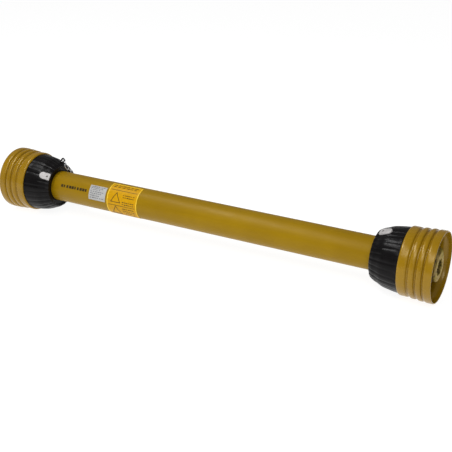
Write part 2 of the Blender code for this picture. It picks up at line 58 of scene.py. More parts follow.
SMALL_ROUND = 48  # sides of a bearing or a pin

# From the frame
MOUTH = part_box("right_collar")[0].x
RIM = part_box("right_cone")[1].x
FLOOR_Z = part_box("right_cone")[0].z
TUBE_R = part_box("outer_guard_tube")[1].z
CROSS_X = next(j["pos_m"][0] for j in frame["joints"] if j["name"] == "right_yoke_tilt")
BODY_OF = {
    node: body
    for body, nodes in frame["record"]["behaviour"]["bodies"].items()
    for node in nodes
}
SLOT_OF = {part["node"]: part["material_slot"] for part in frame["record"]["subparts"]}
ENDS = {
    "right": Matrix.Identity(4),
    "left": Matrix.Rotation(math.pi, 4, "Z"),
}

# Camera
CAMERA_PLACE = (0.8811, -1.4958, 0.7256)
CAMERA_YAW = math.radians(28.963)
CAMERA_PITCH = math.radians(-23.323)
CAMERA_LENS = 68.716

# Chain: the route's points are those of the frame's chain solid
CHAIN_WIDTH = 0.0090
CHAIN_WIRE = 0.0010
LINK_LENGTH = 0.0180
CHAIN_FLOOR = -0.0669
CHAIN_ROUTE = (
    (-0.3890, 0.0125, 0.0500),
    (-0.3888, 0.0185, 0.0395),
    (-0.3888, 0.0280, 0.0318),
    (-0.3888, 0.0352, 0.0222),
    (-0.3888, 0.0408, 0.0060),
    (-0.3884, 0.0460, -0.0180),
    (-0.3850, 0.0575, -0.0420),
    (-0.3730, 0.0730, -0.0600),
    (-0.3500, 0.0870, CHAIN_FLOOR),
    (-0.3200, 0.0950, CHAIN_FLOOR),
    (-0.2800, 0.1000, CHAIN_FLOOR),
    (-0.2300, 0.1020, CHAIN_FLOOR),
    (-0.1800, 0.1000, CHAIN_FLOOR),
    (-0.1300, 0.0960, CHAIN_FLOOR),
    (-0.0800, 0.0980, CHAIN_FLOOR),
)

# Eye on the left collar that holds the chain's ring
LUG_X = 0.0100
LUG_RADIUS = 0.0590
LUG_ANGLE = math.radians(67)
LUG_OUT = Vector((0, math.cos(LUG_ANGLE), math.sin(LUG_ANGLE)))
LUG_MIDDLE = Vector((-MOUTH - LUG_X, 0, 0)) + LUG_OUT * LUG_RADIUS

# Collar
FLUTES = 28
FLUTE_SIDES = 12
FLUTE_DEPTH = 0.0011
FLUTE_GROOVE = 0.16  # width of a groove as a share of a flute
FLUTES_FROM_RADIUS = 0.0440  # the collar's inside is plain
FLUTES_END = 0.0595  # distance from the mouth
SEAM_START = 0.0240  # split line past the tab, distance from the mouth
SEAM_HALF_WIDTH = 0.0016
SEAM_DEPTH = 0.0010
TAB_ANGLES = {"right": math.radians(104), "left": math.radians(40)}
TAB_SEATS = {  # the square end's distance from the mouth, radius and slope
    "right": (0.0078, 0.0561, math.atan2(0.0072, 0.0232)),
    "left": (-0.0002, 0.0523, math.atan2(0.0101, 0.0245)),
}

# Labels
BASE_FILM = 0.0003
INK = 0.0001
STRIP_WIDTH = 0.0015  # widest flat strip of film on the round tube
TRIANGLE = ((-0.577, 0.333), (0.577, 0.333), (0.0, -0.667))

# Joint
TRUNNION_BORE_R = 0.00835
CUP_FLOOR = 0.0291  # distance from the cross's middle
PIN_HEAD_START = 0.0120  # distances from the pin's middle
PIN_NECK_START = 0.0034
PIN_HEAD_HOLLOW_END = 0.0188
PIN_SHANK_R = 0.0055
PIN_NECK_R = 0.0045
PIN_SKIRT_R = 0.0061  # inside of the head's wall
PIN_SPRING_R = 0.0053


# ---------------------------------------------------------------- materials


def new_material(name):
    material = bpy.data.materials.new(name)
    material.use_nodes = True
    return material, material.node_tree, material.node_tree.nodes["Principled BSDF"]


def noise(tree, scale, detail=4.0, stretch=(1, 1, 1)):
    """Noise over the object's own metres, stretched along its axes."""
    place = tree.nodes.new("ShaderNodeTexCoord")
    mapping = tree.nodes.new("ShaderNodeMapping")
    mapping.inputs["Scale"].default_value = stretch
    texture = tree.nodes.new("ShaderNodeTexNoise")
    texture.inputs["Scale"].default_value = scale
    texture.inputs["Detail"].default_value = detail
    tree.links.new(place.outputs["Object"], mapping.inputs["Vector"])
    tree.links.new(mapping.outputs["Vector"], texture.inputs["Vector"])
    return texture.outputs["Fac"]


def spread(tree, value, low, high, start=0.3, end=0.7):
    """The value's start-to-end range mapped onto low to high."""
    mapped = tree.nodes.new("ShaderNodeMapRange")
    mapped.inputs["From Min"].default_value = start
    mapped.inputs["From Max"].default_value = end
    mapped.inputs["To Min"].default_value = low
    mapped.inputs["To Max"].default_value = high
    tree.links.new(value, mapped.inputs["Value"])
    return mapped.outputs["Result"]


def mixed(tree, amount, first, second):
    """A colour mixed by amount. Each colour is a tuple or another node's output."""
    mix = tree.nodes.new("ShaderNodeMix")
    mix.data_type = "RGBA"
    tree.links.new(amount, mix.inputs["Factor"])
    for socket, colour in ((mix.inputs[6], first), (mix.inputs[7], second)):
        if isinstance(colour, tuple):
            socket.default_value = (*colour, 1)
        else:
            tree.links.new(colour, socket)
    return mix.outputs[2]


def raised_edges(tree, start, end):
    """One on sharp outer edges and nought on flat faces."""
    geometry = tree.nodes.new("ShaderNodeNewGeometry")
    return spread(tree, geometry.outputs["Pointiness"], 0.0, 1.0, start, end)


def roughen(tree, shader, fac, low, high):
    tree.links.new(spread(tree, fac, low, high), shader.inputs["Roughness"])


def bump(tree, shader, height, strength, distance):
    node = tree.nodes.new("ShaderNodeBump")
    node.inputs["Strength"].default_value = strength
    node.inputs["Distance"].default_value = distance
    tree.links.new(height, node.inputs["Height"])
    tree.links.new(node.outputs["Normal"], shader.inputs["Normal"])


def extruded_yellow():
    """Guard tube: drawn lines along the shaft, faint blotches and handling marks."""
    material, tree, shader = new_material("extruded_yellow")
    blotch = spread(tree, noise(tree, 14, 5), 0, 1)
    lines = noise(tree, 260, 3, (0.02, 1, 1))
    base = mixed(tree, blotch, (0.278, 0.158, 0.0004), (0.318, 0.184, 0.0008))
    colour = mixed(tree, spread(tree, lines, 0.0, 0.35), base, (0.255, 0.145, 0.0010))
    tree.links.new(colour, shader.inputs["Base Color"])
    roughen(tree, shader, noise(tree, 60, 6, (0.3, 1, 1)), 0.36, 0.50)
    bump(tree, shader, lines, 0.25, 0.00015)
    shader.inputs["Specular IOR Level"].default_value = 0.27
    shader.inputs["Specular Tint"].default_value = (1.0, 0.84, 0.50, 1)
    return material


def moulded_yellow():
    """Cone: fine moulding grain, paler on rubbed ribs, with painted shade darkening the grooves."""
    material, tree, shader = new_material("moulded_yellow")
    blotch = spread(tree, noise(tree, 22, 5), 0, 1)
    base = mixed(tree, blotch, (0.270, 0.146, 0.0006), (0.315, 0.174, 0.0012))
    rubbed = mixed(tree, raised_edges(tree, 0.52, 0.60), base, (0.370, 0.218, 0.0050))
    # painted shade: the concave faces in the grooves are mixed towards dark brown
    painted_groove_shade = mixed(tree, raised_edges(tree, 0.495, 0.455), rubbed, (0.118, 0.060, 0.0004))
    tree.links.new(painted_groove_shade, shader.inputs["Base Color"])
    roughen(tree, shader, noise(tree, 90, 6), 0.20, 0.30)
    bump(tree, shader, noise(tree, 900, 4), 0.20, 0.0002)
    shader.inputs["Specular IOR Level"].default_value = 0.55
    shader.inputs["Specular Tint"].default_value = (1.0, 0.86, 0.56, 1)
    return material


def moulded_black():
    """Collar: near black, satin in patches, with grey scuffs on the flutes' edges."""
    material, tree, shader = new_material("moulded_black")
    blotch = spread(tree, noise(tree, 35, 5), 0, 1)
    base = mixed(tree, blotch, (0.0020, 0.0016, 0.0018), (0.0048, 0.0038, 0.0041))
    scuffed = raised_edges(tree, 0.53, 0.66)
    tree.links.new(mixed(tree, scuffed, base, (0.0110, 0.0100, 0.0102)), shader.inputs["Base Color"])
    roughen(tree, shader, noise(tree, 70, 5, (0.4, 1, 1)), 0.24, 0.40)
    bump(tree, shader, noise(tree, 160, 5, (0.25, 1, 1)), 0.16, 0.0004)
    shader.inputs["Specular IOR Level"].default_value = 0.14
    return material


def white_nylon():
    """Lock tab: off-white, slightly blotched."""
    material, tree, shader = new_material("white_nylon")
    blotch = spread(tree, noise(tree, 120, 5), 0, 1)
    colour = mixed(tree, blotch, (0.42, 0.405, 0.400), (0.51, 0.490, 0.485))
    tree.links.new(colour, shader.inputs["Base Color"])
    roughen(tree, shader, noise(tree, 200, 4), 0.34, 0.50)
    bump(tree, shader, noise(tree, 1400, 3), 0.15, 0.0001)
    return material


def passivated_forging():
    """Yoke: forged skin under an olive passivate, smeared with grease, paler on edges."""
    material, tree, shader = new_material("passivated_forging")
    cloud = spread(tree, noise(tree, 55, 5), 0, 1, 0.38, 0.62)
    base = mixed(tree, cloud, (0.190, 0.148, 0.014), (0.250, 0.176, 0.066))
    grease = spread(tree, noise(tree, 130, 4), 0, 0.85, 0.54, 0.66)
    smeared = mixed(tree, grease, base, (0.022, 0.016, 0.005))
    worn = raised_edges(tree, 0.54, 0.66)
    tree.links.new(mixed(tree, worn, smeared, (0.340, 0.270, 0.080)), shader.inputs["Base Color"])
    roughen(tree, shader, noise(tree, 240, 5), 0.30, 0.55)
    bump(tree, shader, noise(tree, 480, 6), 0.45, 0.0005)
    shader.inputs["Metallic"].default_value = 0.70
    shader.inputs["Specular Tint"].default_value = (1.0, 0.84, 0.46, 1)
    return material


def steel(name, dark, light, low_roughness, high_roughness, grain, stretch=(1, 1, 1)):
    """Bare or plated steel with a fine grain, greyer in patches."""
    material, tree, shader = new_material(name)
    cloud = spread(tree, noise(tree, 90, 5), 0, 1)
    tree.links.new(mixed(tree, cloud, dark, light), shader.inputs["Base Color"])
    roughen(tree, shader, noise(tree, grain, 4, stretch), low_roughness, high_roughness)
    bump(tree, shader, noise(tree, grain * 2, 3, stretch), 0.20, 0.0001)
    shader.inputs["Metallic"].default_value = 1.0
    return material


def black_rubber():
    """Lip seal: dull, with a fine grain."""
    material, tree, shader = new_material("black_rubber")
    cloud = spread(tree, noise(tree, 150, 4), 0, 1)
    colour = mixed(tree, cloud, (0.012, 0.012, 0.012), (0.030, 0.029, 0.028))
    tree.links.new(colour, shader.inputs["Base Color"])
    roughen(tree, shader, noise(tree, 300, 4), 0.60, 0.85)
    bump(tree, shader, noise(tree, 1200, 3), 0.25, 0.0001)
    return material


def sticker(name, dark, light):
    """Printed film with a slight orange peel and small colour drift."""
    material, tree, shader = new_material(name)
    cloud = spread(tree, noise(tree, 160, 4), 0, 1)
    tree.links.new(mixed(tree, cloud, dark, light), shader.inputs["Base Color"])
    roughen(tree, shader, noise(tree, 250, 4), 0.34, 0.50)
    bump(tree, shader, noise(tree, 700, 3), 0.10, 0.0001)
    shader.inputs["Specular IOR Level"].default_value = 0.15
    return material


def make_materials():
    return {
        "tube": extruded_yellow(),
        "cone": moulded_yellow(),
        "collar_black": moulded_black(),
        "nylon_white": white_nylon(),
        "forged_steel": passivated_forging(),
        "bearing_steel": steel(
            "ground_steel", (0.46, 0.45, 0.43), (0.60, 0.59, 0.57), 0.22, 0.38, 500
        ),
        "spring_steel": steel(
            "oiled_steel", (0.22, 0.22, 0.23), (0.36, 0.36, 0.37), 0.28, 0.45, 400
        ),
        "tube_steel": steel(
            "drawn_steel", (0.30, 0.30, 0.31), (0.42, 0.42, 0.43), 0.32, 0.48, 300, (0.05, 1, 1)
        ),
        "chain_zinc": steel(
            "bright_zinc", (0.52, 0.53, 0.55), (0.68, 0.69, 0.71), 0.20, 0.38, 600
        ),
        "seal_rubber": black_rubber(),
        "label_silver": sticker("silver_film", (0.40, 0.40, 0.39), (0.50, 0.50, 0.49)),
        "label_amber": sticker("amber_film", (0.54, 0.278, 0.0002), (0.63, 0.330, 0.0004)),
        "pale_ink": sticker("pale_ink", (0.84, 0.54, 0.030), (0.92, 0.61, 0.050)),
        "dark_ink": sticker("dark_ink", (0.020, 0.014, 0.006), (0.045, 0.030, 0.010)),
        "grey_ink": sticker("grey_ink", (0.10, 0.10, 0.12), (0.18, 0.18, 0.20)),
    }


# ---------------------------------------------------------------- mesh helpers


def show(name, mesh, material, smooth_below=math.radians(40)):
    mesh.materials.clear()
    mesh.materials.append(material)
    obj = bpy.data.objects.new(name, mesh)
    bpy.context.scene.collection.objects.link(obj)
    mesh.shade_smooth()
    mesh.set_sharp_from_angle(angle=smooth_below)
    return obj


def stand_for(obj, *nodes):
    """The piece is shown in place of these nodes, and rides on the first one's body."""
    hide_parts(*nodes)
    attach(obj, BODY_OF[nodes[0]])
    return obj


def add_to(obj, body):
    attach(obj, body)
    return obj


def rounded(corners, steps=4):
    """A closed outline with each (along, radius, rounding) corner eased by a curve."""
    outline = []
    points = [Vector(corner[:2]) for corner in corners]
    for i, (here, corner) in enumerate(zip(points, corners)):
        before = points[i - 1] - here
        after = points[(i + 1) % len(points)] - here
        start = here + before.normalized() * min(corner[2], before.length * 0.45)
        end = here + after.normalized() * min(corner[2], after.length * 0.45)
        for step in range(steps + 1):
            t = step / steps
            outline.append(start * (1 - t) ** 2 + here * 2 * t * (1 - t) + end * t * t)
    return outline


def turned(name, outline, material, place, sides=ROUND, shape=None):
    """A ring turned about X from a closed (along, radius) outline, then moved by place.

    shape(along, radius, angle) may change a radius, for flutes and grooves.
    """
    mesh = bpy.data.meshes.new(name)
    made = bmesh.new()
    rows = []
    for along, radius in outline:
        row = []
        for side in range(sides):
            angle = 2 * math.pi * side / sides
            reach = shape(along, radius, angle) if shape else radius
            row.append(made.verts.new((along, reach * math.cos(angle), reach * math.sin(angle))))
        rows.append(row)
    for first, second in zip(rows, rows[1:] + rows[:1]):
        for side in range(sides):
            after = (side + 1) % sides
            made.faces.new((first[side], first[after], second[after], second[side]))
    bmesh.ops.remove_doubles(made, verts=made.verts, dist=0.000005)
    bmesh.ops.recalc_face_normals(made, faces=made.faces)
    made.to_mesh(mesh)
    made.free()
    mesh.transform(place)
    return show(name, mesh, material)


def solid_outline(outline):
    """A closed outline for a solid piece: it runs back along the axis."""
    return [(outline[0][0], 0, 0), *outline, (outline[-1][0], 0, 0)]


def tube_along(name, points, radius, material, closed=False):
    """Round wire through the points."""
    curve = bpy.data.curves.new(name, "CURVE")
    curve.dimensions = "3D"
    curve.bevel_depth = radius
    curve.bevel_resolution = 4
    curve.use_fill_caps = not closed
    spline = curve.splines.new("POLY")
    spline.points.add(len(points) - 1)
    for point, place in zip(spline.points, points):
        point.co = (*place, 1)
    spline.use_cyclic_u = closed
    holder = bpy.data.objects.new(name, curve)
    bpy.context.scene.collection.objects.link(holder)
    bpy.context.view_layer.update()
    graph = bpy.context.evaluated_depsgraph_get()
    mesh = bpy.data.meshes.new_from_object(holder.evaluated_get(graph))
    bpy.data.objects.remove(holder)
    bpy.data.curves.remove(curve)
    return show(name, mesh, material)


def join(name, objects):
    """One object from several, with the first one's material."""
    joined = bmesh.new()
    for obj in objects:
        joined.from_mesh(obj.data)
    mesh = bpy.data.meshes.new(name)
    joined.to_mesh(mesh)
    joined.free()
    material = objects[0].data.materials[0]
    for obj in objects:
        bpy.data.objects.remove(obj)
    return show(name, mesh, material)


# ---------------------------------------------------------------- guard


def guard_tube(name, node, material):
    """Drawn tube with a thin wall and eased ends."""
    low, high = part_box(node)
    radius = high.z
    wall = 0.0024
    ease = 0.0006
    outline = rounded(
        [
            (low.x, radius, ease),
            (high.x, radius, ease),
            (high.x, radius - wall, ease),
            (low.x, radius - wall, ease),
        ]
    )
    return stand_for(turned(name, outline, material, Matrix.Identity(4)), node)


def flute(along, radius, angle, tab_angle):
    """Collar's outer skin: narrow grooves between flutes, deepest at the small end."""
    reach = along - MOUTH
    if radius < FLUTES_FROM_RADIUS or reach > FLUTES_END:
        return radius
    phase = angle * FLUTES / (2 * math.pi)
    from_groove = abs(phase - round(phase))
    fade = 1 - 0.65 * min(1, reach / 0.058)
    depth = FLUTE_DEPTH * fade * math.exp(-((from_groove / FLUTE_GROOVE) ** 2))
    wander = math.sin(angle * 7 + reach * 60) * 0.00018 + math.sin(angle * 17) * 0.00012
    seam = abs(math.remainder(angle - tab_angle, 2 * math.pi)) * radius
    if reach > SEAM_START and seam < SEAM_HALF_WIDTH:
        depth += SEAM_DEPTH * (1 - seam / SEAM_HALF_WIDTH)
    return radius - depth + wander


def collar(side, materials):
    """Fluted collar, with the chain's eye on the left one."""
    tube_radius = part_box(f"{'outer' if side == 'left' else 'inner'}_guard_tube")[1].z
    clear = tube_radius + 0.0003
    corners = [
        (0.0000, 0.0494, 0.0016),
        (0.0035, 0.0514, 0.0020),
        (0.0070, 0.0535, 0.0026),
        (0.0130, 0.0556, 0.0034),
        (0.0175, 0.0575, 0.0034),
        (0.0245, 0.0607, 0.0040),
        (0.0315, 0.0623, 0.0040),
        (0.0455, 0.0647, 0.0060),
        (0.0600, 0.0661, 0.0006),
        (0.0615, 0.0652, 0.0004),
        (0.0840, 0.0652, 0.0004),
        (0.0840, 0.0628, 0.0004),
        (0.0450, 0.0616, 0.0040),
        (0.0300, 0.0594, 0.0040),
        (0.0200, 0.0565, 0.0030),
        (0.0140, 0.0530, 0.0020),
        (0.0140, tube_radius + 0.0034, 0.0004),
        (0.0180, tube_radius + 0.0032, 0.0003),
        (0.0180, clear, 0.0003),
        (0.0028, clear, 0.0003),
        (0.0022, 0.0430, 0.0006),
        (0.0000, 0.0472, 0.0010),
    ]
    outline = rounded([(MOUTH + x, r, ease) for x, r, ease in corners])

    def fluted(along, radius, angle):
        return flute(along, radius, angle, TAB_ANGLES[side])

    name = side + "_fluted_collar"
    piece = turned(name, outline, materials["collar_black"], ENDS[side], FLUTES * FLUTE_SIDES, fluted)
    if side == "left":
        piece = join(name, [piece, chain_eye(materials)])
    return stand_for(piece, side + "_collar")


def chain_eye(materials):
    """Moulded eye on the left collar's shoulder, standing across the shaft."""
    steps = 28
    eye_radius = 0.0052
    bar_radius = 0.0017
    round_shaft = Vector((0, -math.sin(LUG_ANGLE), math.cos(LUG_ANGLE)))
    ring = []
    for step in range(steps):
        angle = 2 * math.pi * step / steps
        reach = LUG_OUT * math.cos(angle) + round_shaft * math.sin(angle)
        ring.append(LUG_MIDDLE + eye_radius * reach)
    return tube_along("eye", ring, bar_radius, materials["collar_black"], closed=True)


def cone(side, materials):
    """Ribbed cone. Corners are distances from the mouth, radii and roundings."""
    corners = [
        (0.0612, 0.0668, 0.0005),
        (0.0620, 0.0684, 0.0006),
        (0.0640, 0.0693, 0.0010),
        (0.0785, 0.0693, 0.0026),
        (0.0804, 0.0661, 0.0012),
        (0.0834, 0.0661, 0.0012),
        (0.0853, 0.0704, 0.0040),
        (0.0942, 0.0706, 0.0040),
        (0.0961, 0.0666, 0.0012),
        (0.0989, 0.0666, 0.0012),
        (0.1008, 0.0716, 0.0036),
        (0.1092, 0.0718, 0.0036),
        (0.1108, 0.0677, 0.0009),
        (0.1128, 0.0677, 0.0009),
        (0.1147, 0.0722, 0.0034),
        (0.1280, 0.0721, 0.0014),
        (RIM - MOUTH, 0.0712, 0.0006),
        (RIM - MOUTH, 0.0695, 0.0006),
        (0.1215, 0.0694, 0.0050),
        (0.1135, 0.0659, 0.0040),
        (0.0960, 0.0650, 0.0010),
        (0.0852, 0.0645, 0.0006),
        (0.0845, 0.0655, 0.0003),
        (0.0612, 0.0655, 0.0003),
    ]
    outline = rounded([(MOUTH + x, r, ease) for x, r, ease in corners])
    piece = turned(side + "_ribbed_cone", outline, materials["cone"], ENDS[side], CONE_ROUND)
    return stand_for(piece, side + "_cone")


def lock_tab(side, materials):
    """Tombstone-shaped clip on the collar, with a small dark latch mark."""
    half_width = 0.0080
    length = 0.0250
    thickness = 0.0016
    foot = 0.0026  # below the seat, sunk in the collar
    distance, radius, slope = TAB_SEATS[side]
    steps = 20
    outline = [(0, half_width), (0, -half_width)]
    for step in range(steps + 1):
        angle = -math.pi / 2 + math.pi * step / steps
        x = length - half_width + half_width * math.cos(angle)
        outline.append((x, half_width * math.sin(angle)))
    mesh = bpy.data.meshes.new(side + "_tab")
    plate = bmesh.new()
    face = plate.faces.new([plate.verts.new((x, y, -foot)) for x, y in outline])
    raised = bmesh.ops.extrude_face_region(plate, geom=[face])
    for item in raised["geom"]:
        if isinstance(item, bmesh.types.BMVert):
            item.co.z += foot + thickness
    bmesh.ops.recalc_face_normals(plate, faces=plate.faces)
    rims = [e for e in plate.edges if abs(e.verts[0].co.z - e.verts[1].co.z) < 0.0001]
    bmesh.ops.bevel(plate, geom=rims, offset=0.0004, segments=3, profile=0.5, affect="EDGES")
    plate.to_mesh(mesh)
    plate.free()
    on_collar = Matrix.Translation((MOUTH + distance, 0, radius)) @ Matrix.Rotation(-slope, 4, "Y")
    about_shaft = Matrix.Rotation(TAB_ANGLES[side] - math.pi / 2, 4, "X")
    mesh.transform(ENDS[side] @ about_shaft @ on_collar)
    stand_for(show(side + "_nylon_tab", mesh, materials["nylon_white"]), side + "_lock_tab")

    mark = bpy.data.meshes.new(side + "_tab_mark")
    arrow = bmesh.new()
    corners = ((0.0052, 0.0022), (0.0052, -0.0022), (0.0094, 0))
    arrow.faces.new([arrow.verts.new((x, y, thickness + 0.00006)) for x, y in corners])
    arrow.to_mesh(mark)
    arrow.free()
    mark.transform(ENDS[side] @ about_shaft @ on_collar)
    mark_piece = show(side + "_tab_latch_mark", mark, materials["dark_ink"])
    solidify = mark_piece.modifiers.new("thickness", "SOLIDIFY")
    solidify.thickness = 0.0001
    add_to(mark_piece, BODY_OF[side + "_lock_tab"])


# ---------------------------------------------------------------- labels


def wrapped(name, polygons, height, thickness, material):
    """Film on the outer guard tube. Polygons are (x, angle) corners, angles from +Y."""
    radius = TUBE_R + height
    flat = bmesh.new()
    for polygon in polygons:
        flat.faces.new([flat.verts.new((x, angle * TUBE_R, 0)) for x, angle in polygon])
    arc_values = [angle * TUBE_R for polygon in polygons for _, angle in polygon]
    slice_at = min(arc_values) + STRIP_WIDTH
    while slice_at < max(arc_values):
        everything = flat.verts[:] + flat.edges[:] + flat.faces[:]
        bmesh.ops.bisect_plane(
            flat, geom=everything, plane_co=(0, slice_at, 0), plane_no=(0, 1, 0), dist=0.00001
        )
        slice_at += STRIP_WIDTH
    raised = bmesh.ops.extrude_face_region(flat, geom=flat.faces[:])
    for item in raised["geom"]:
        if isinstance(item, bmesh.types.BMVert):
            item.co.z += thickness
    for vertex in flat.verts:
        angle = vertex.co.y / TUBE_R
        reach = radius + vertex.co.z
        vertex.co = (vertex.co.x, reach * math.cos(angle), reach * math.sin(angle))
    bmesh.ops.recalc_face_normals(flat, faces=flat.faces)
    mesh = bpy.data.meshes.new(name)
    flat.to_mesh(mesh)
    flat.free()
    return show(name, mesh, material)


def bar(x_low, x_high, angle, width):
    """A strip along the shaft, width across it in metres."""
    half = width / 2 / TUBE_R
    return [
        (x_low, angle - half),
        (x_high, angle - half),
        (x_high, angle + half),
        (x_low, angle + half),
    ]


def dashes(x_low, x_high, angle, width, count):
    """A broken strip of unequal dashes, which stands for print without lettering."""
    pitch = (x_high - x_low) / count
    strips = []
    for i in range(count):
        share = 0.45 + 0.40 * abs(math.sin(2.4 * i + angle * 5))
        start = x_low + pitch * i
        strips.append(bar(start, start + pitch * share, angle, width))
    return strips


def triangle(x, angle, size, line):
    """Outline of a plain triangle pointing up the tube's side."""
    outer = [(x + size * c, angle + size * s / TUBE_R) for c, s in TRIANGLE]
    shrink = 1 - 2 * line / size
    inner = [(x + (a - x) * shrink, angle + (b - angle) * shrink) for a, b in outer]
    return [[outer[i - 1], outer[i], inner[i], inner[i - 1]] for i in range(3)]


def labels(materials):
    """Two stickers and a printed line, with dashes in place of any wording."""
    low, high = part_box("info_label")
    silver = [
        (low.x, math.radians(126)),
        (high.x, math.radians(126)),
        (high.x, math.radians(182)),
        (low.x, math.radians(182)),
    ]
    film = wrapped("silver_sticker", [silver], BASE_FILM, BASE_FILM, materials["label_silver"])
    stand_for(film, "info_label")
    top = BASE_FILM * 2
    lines = []
    for i, degrees in enumerate((131, 137, 143, 150, 157, 165, 173)):
        ends = (low.x + 0.0035, high.x - 0.0035 - 0.006 * (i % 3))
        lines += dashes(*ends, math.radians(degrees), 0.0017, 6)
    ink = wrapped("silver_sticker_lines", lines, top, INK, materials["grey_ink"])
    add_to(ink, "guard_outer")

    low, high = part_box("warning_label")
    first, last = math.radians(94), math.radians(246)
    amber = [(low.x, first), (high.x, first), (high.x, last), (low.x, last)]
    film = wrapped("amber_sticker", [amber], BASE_FILM, BASE_FILM, materials["label_amber"])
    stand_for(film, "warning_label")

    edge = 0.0022
    margin = edge / TUBE_R
    frame_strips = [
        [(low.x, first), (low.x + edge, first), (low.x + edge, last), (low.x, last)],
        [(high.x - edge, first), (high.x, first), (high.x, last), (high.x - edge, last)],
        [(low.x + edge, first), (high.x - edge, first), (high.x - edge, first + margin)]
        + [(low.x + edge, first + margin)],
        [(low.x + edge, last - margin), (high.x - edge, last - margin), (high.x - edge, last)]
        + [(low.x + edge, last)],
    ]
    pale = wrapped("amber_sticker_border", frame_strips, top, INK, materials["pale_ink"])
    add_to(pale, "guard_outer")

    dark = []
    for degrees in (126, 184, 226):
        dark.append(bar(low.x + 0.005, high.x - 0.005, math.radians(degrees), 0.0010))
    for degrees in (160, 211):
        dark += triangle(low.x + 0.0240, math.radians(degrees), 0.0235, 0.0021)
    for degrees in (104, 112, 142, 150, 168, 176, 194, 204, 214, 236):
        start = low.x + (0.008 if degrees < 126 or degrees > 226 else 0.042)
        dark += dashes(start, high.x - 0.007, math.radians(degrees), 0.0017, 6)
    marks = wrapped("amber_sticker_marks", dark, top, INK, materials["dark_ink"])
    add_to(marks, "guard_outer")

    # a printed line along the tube
    print_line = dashes(-0.3690, -0.2930, math.radians(153), 0.0064, 10)
    stamp = wrapped("tube_print_dashes", print_line, 0.00003, 0.00006, materials["dark_ink"])
    add_to(stamp, "guard_outer")


# ---------------------------------------------------------------- chain


def smooth_route(knots, spacing):
    """Points about spacing apart on a Catmull-Rom curve through the knots."""
    knots = [Vector(knot) for knot in knots]
    ends = [2 * knots[0] - knots[1]] + knots + [2 * knots[-1] - knots[-2]]
    route = [knots[0]]
    for a, b, c, d in zip(ends, ends[1:], ends[2:], ends[3:]):
        steps = max(1, round((c - b).length / spacing))
        for i in range(1, steps + 1):
            t = i / steps
            bend = (2 * a - 5 * b + 4 * c - d) * t * t + (3 * b - a - 3 * c + d) * t**3
            route.append((2 * b + (c - a) * t + bend) / 2)
    for point in route:
        point.z = max(point.z, CHAIN_FLOOR)
    return route


def place_on(route, distance):
    """Point and direction at a distance along the route."""
    for here, after in zip(route, route[1:]):
        step = (after - here).length
        if distance <= step:
            break
        distance -= step
    direction = (after - here).normalized()
    return here + direction * distance, direction


def link_ring(middle, along, across):
    """Centreline of an oval link."""
    half_width = CHAIN_WIDTH / 2 - CHAIN_WIRE
    half_straight = LINK_LENGTH / 2 - CHAIN_WIRE - half_width
    steps = 10
    ring = []
    for end in (1, -1):
        for step in range(steps + 1):
            angle = -math.pi / 2 + math.pi * step / steps
            x = end * (half_straight + half_width * math.cos(angle))
            y = end * half_width * math.sin(angle)
            ring.append(middle + along * x + across * y)
    return ring


def chain(materials):
    """Link chain along its route, the hook at its end and the ring that holds it."""
    route = smooth_route(CHAIN_ROUTE, 0.004)
    length = sum((b - a).length for a, b in zip(route, route[1:]))
    pitch = LINK_LENGTH - 4 * CHAIN_WIRE
    count = round((length - LINK_LENGTH) / pitch) + 1
    pitch = (length - LINK_LENGTH) / (count - 1)
    links = []
    for i in range(count):
        middle, along = place_on(route, LINK_LENGTH / 2 + pitch * i)
        sideways = along.cross(Vector((0, 0, 1))).normalized()
        across = sideways if i % 2 else along.cross(sideways)
        ring = link_ring(middle, along, across)
        links.append(tube_along(f"link_{i}", ring, CHAIN_WIRE, materials["chain_zinc"], True))
    piece = stand_for(join("left_link_chain", links), "left_chain")

    hook_low, hook_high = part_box("left_chain_hook")
    hook_radius = 0.0020
    bend_radius = 0.0080
    steps = 24
    middle_y = CHAIN_ROUTE[-1][1]
    start = Vector((hook_low.x + hook_radius - 0.0010, middle_y, (hook_low.z + hook_high.z) / 2))
    # each bend's middle, and the angles it runs between
    bends = ((0.0090, 0.0, 180, -20), (0.0280, -0.0040, 200, 340))
    points = []
    for x, y, from_angle, to_angle in bends:
        for step in range(steps + 1):
            angle = math.radians(from_angle + (to_angle - from_angle) * step / steps)
            reach = Vector((math.cos(angle), math.sin(angle), 0)) * bend_radius
            points.append(start + Vector((x, y, 0)) + reach)
    hook = tube_along("left_wire_hook", points, hook_radius, materials["chain_zinc"])
    stand_for(hook, "left_chain_hook")

    # an open ring joins the collar's eye to the first link
    first = Vector(CHAIN_ROUTE[0])
    middle = (LUG_MIDDLE + first) / 2 + LUG_OUT * 0.0010
    along = (first - LUG_MIDDLE).normalized()
    standing = (LUG_OUT - along * LUG_OUT.dot(along)).normalized()
    half_length = (first - LUG_MIDDLE).length / 2 + 0.0035
    half_width = 0.0062
    ring = []
    for step in range(33):
        angle = math.radians(20 + 320 * step / 32)
        ring.append(
            middle
            + along * half_length * math.cos(angle)
            + standing * half_width * math.sin(angle)
        )
    ring_piece = tube_along("left_chain_ring", ring, CHAIN_WIRE, materials["chain_zinc"])
    add_to(ring_piece, "guard_outer")


# ---------------------------------------------------------------- joint


def forging(node, material):
    """The node's own shape with its corners softened, as a forging has them."""
    mesh = frame["nodes"][node].data.copy()
    piece = show(node + "_forging", mesh, material)
    weld = piece.modifiers.new("weld", "WELD")
    weld.merge_threshold = 0.00001
    remesh = piece.modifiers.new("skin", "REMESH")
    remesh.mode = "VOXEL"
    remesh.voxel_size = 0.0008
    remesh.use_smooth_shade = True
    soften = piece.modifiers.new("soften", "SMOOTH")
    soften.factor = 0.5
    soften.iterations = 5
    bpy.context.view_layer.update()
    graph = bpy.context.evaluated_depsgraph_get()
    made = bpy.data.meshes.new_from_object(piece.evaluated_get(graph))
    bpy.data.objects.remove(piece)
    return stand_for(show(node + "_forging", made, material, math.radians(60)), node)


